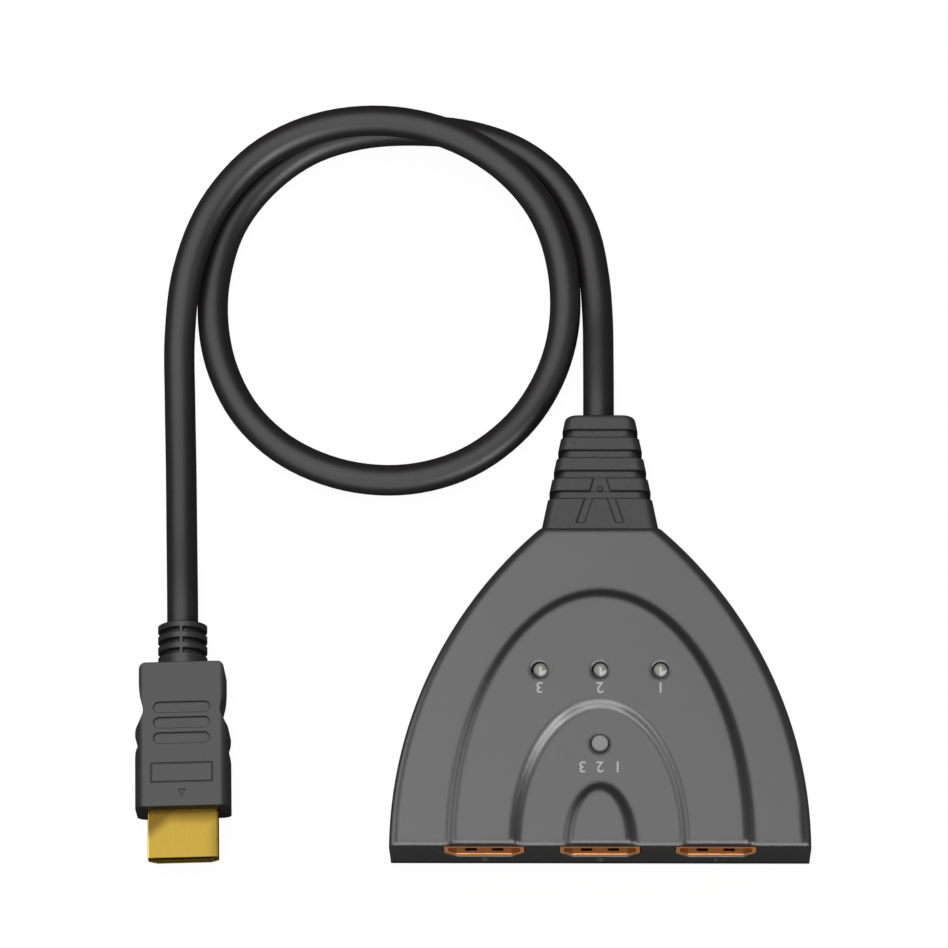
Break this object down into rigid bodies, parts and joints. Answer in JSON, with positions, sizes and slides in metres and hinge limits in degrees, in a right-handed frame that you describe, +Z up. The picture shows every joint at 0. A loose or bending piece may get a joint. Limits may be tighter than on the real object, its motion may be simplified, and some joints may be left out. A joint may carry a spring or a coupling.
{
  "type": "hdmi switch box",
  "caption": "Video switch box with a shield-shaped terraced housing, sockets in its front face, indicator lamps and a select button on top, and a captive cord ending in a moulded plug.",
  "frame": {"origin": "middle of the housing and boot in plan, on the table under them; the cord and its plug are left out of that box", "axes": "+X to the right, +Y from the sockets to the boot, +Z up"},
  "size_m": [0.1327, 0.1581, 0.016],
  "materials": {
    "cover_plastic": "satin black ABS, lightly textured",
    "screw_steel": "blackened steel",
    "boot_rubber": "soft black moulded PVC",
    "board_laminate": "green solder mask",
    "button_plastic": "grey, satin",
    "switch_plastic": "black",
    "plunger_plastic": "ivory",
    "lamp_lens": "clear epoxy lens",
    "socket_shell": "copper-toned plated sheet",
    "insulator_plastic": "black nylon",
    "contact_metal": "gold flash",
    "chip_resin": "moulded epoxy",
    "tinned_metal": "tinned",
    "component_ceramic": "ceramic",
    "cord_jacket": "satin black PVC jacket",
    "wire_jacket": "red PVC",
    "plug_plastic": "satin black PVC overmould",
    "plated_shell": "gold-plated sheet"
  },
  "bodies": {
    "housing": {"top_cover": "cover_plastic", "bottom_cover": "cover_plastic", "cover_screws": "screw_steel", "strain_relief_boot": "boot_rubber", "pcb": "board_laminate", "tact_switch_body": "switch_plastic", "led_1": "lamp_lens", "led_2": "lamp_lens", "led_3": "lamp_lens", "port_1_shell": "socket_shell", "port_2_shell": "socket_shell", "port_3_shell": "socket_shell", "port_1_tongue": "insulator_plastic", "port_2_tongue": "insulator_plastic", "port_3_tongue": "insulator_plastic", "port_1_contacts": "contact_metal", "port_2_contacts": "contact_metal", "port_3_contacts": "contact_metal", "switch_chip": "chip_resin", "chip_leads": "tinned_metal", "voltage_regulator": "chip_resin", "passives": "component_ceramic", "inner_cable": "cord_jacket", "cable_wires": "wire_jacket", "pigtail_cord": "cord_jacket", "plug_overmold": "plug_plastic", "plug_shell": "plated_shell", "plug_insulator": "insulator_plastic", "plug_contacts": "contact_metal"},
    "select_button": {"select_button": "button_plastic", "tact_switch_plunger": "plunger_plastic"}
  },
  "joints": [
    {"name": "select_press", "type": "slide", "parent": "housing", "child": "select_button", "axis": [0, 0, -1], "range_m": [0, 0.0004], "stiffness_N_per_m": 300}
  ]
}
